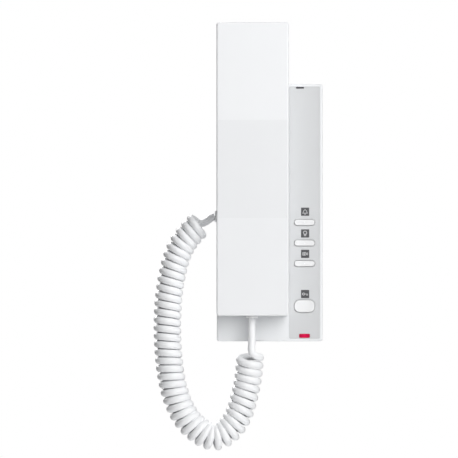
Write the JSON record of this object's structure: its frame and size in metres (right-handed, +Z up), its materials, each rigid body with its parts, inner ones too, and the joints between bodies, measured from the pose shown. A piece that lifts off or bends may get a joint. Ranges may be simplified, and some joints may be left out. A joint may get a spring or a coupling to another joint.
{
  "type": "audio intercom handset",
  "caption": "Slim wall intercom: a base with a key strip, and a three-facet handset that lifts off its top edge, joined by a curly cord.",
  "frame": {"origin": "centre of the two wall screw holes, on the wall face of the bracket and of the base's back", "axes": "+X right seen from the front, +Z up along the handset, +Y into the wall, so the front faces -Y"},
  "size_m": [0.1181, 0.045, 0.2963],
  "materials": {
    "zinc_steel": "satin",
    "white_shell": "satin",
    "white_handset": "satin",
    "white_trim": "satin",
    "white_keys": "satin",
    "grey_strip": "satin",
    "keypad_rubber": "matt",
    "circuit_board": "satin",
    "black_parts": "satin",
    "red_lens": "gloss",
    "led_body": "gloss",
    "green_terminal": "satin",
    "speaker_steel": "satin",
    "foam_rubber": "matt",
    "spring_steel": "satin",
    "screw_steel": "satin",
    "bush_rubber": "matt",
    "capsule_metal": "satin",
    "weight_steel": "satin",
    "cord_jacket": "satin"
  },
  "bodies": {
    "base": {"wall_bracket": "zinc_steel", "base_rear_cover": "white_shell", "base_front_shell": "white_shell", "key_strip": "grey_strip", "rubber_keypad": "keypad_rubber", "main_board": "circuit_board", "board_components": "black_parts", "indicator_lens": "red_lens", "status_led": "led_body", "terminal_block": "green_terminal", "call_speaker": "speaker_steel", "speaker_gasket": "foam_rubber", "hook_spring": "spring_steel", "hook_switch": "black_parts", "base_screws": "screw_steel", "base_cord_bush": "bush_rubber", "cord_handset_tail": "cord_jacket", "cord_curls": "cord_jacket", "cord_base_tail": "cord_jacket"},
    "handset": {"handset_front_shell": "white_handset", "handset_rear_shell": "white_handset", "receiver_capsule": "speaker_steel", "receiver_gasket": "foam_rubber", "microphone_boot": "foam_rubber", "microphone_capsule": "capsule_metal", "handset_weight": "weight_steel", "handset_screws": "screw_steel", "handset_cord_bush": "bush_rubber"},
    "hook_plunger": {"hook_plunger": "white_trim"},
    "call_button_1": {"call_button_1": "white_keys"},
    "call_button_2": {"call_button_2": "white_keys"},
    "call_button_3": {"call_button_3": "white_keys"},
    "unlock_button": {"unlock_button": "white_keys"}
  },
  "joints": [
    {"name": "handset_lift", "type": "slide", "parent": "base", "child": "handset", "axis": [0, -0.7071, 0.7071], "range_m": [0, 0.06]},
    {"name": "hook_plunger_slide", "type": "slide", "parent": "base", "child": "hook_plunger", "axis": [0, -1, 0], "range_m": [0, 0.003], "deforming": ["hook_spring"]},
    {"name": "call_button_1_press", "type": "slide", "parent": "base", "child": "call_button_1", "axis": [0, 1, 0], "range_m": [0, 0.0012], "stiffness_N_per_m": 800, "springref_m": -0.001, "deforming": ["rubber_keypad"]},
    {"name": "call_button_2_press", "type": "slide", "parent": "base", "child": "call_button_2", "axis": [0, 1, 0], "range_m": [0, 0.0012], "stiffness_N_per_m": 800, "springref_m": -0.001, "deforming": ["rubber_keypad"]},
    {"name": "call_button_3_press", "type": "slide", "parent": "base", "child": "call_button_3", "axis": [0, 1, 0], "range_m": [0, 0.0012], "stiffness_N_per_m": 800, "springref_m": -0.001, "deforming": ["rubber_keypad"]},
    {"name": "unlock_button_press", "type": "slide", "parent": "base", "child": "unlock_button", "axis": [0, 1, 0], "range_m": [0, 0.0012], "stiffness_N_per_m": 800, "springref_m": -0.001, "deforming": ["rubber_keypad"]}
  ],
  "couplings": [
    {"joint": "hook_plunger_slide", "follows": "handset_lift", "ratio": 0.05}
  ]
}
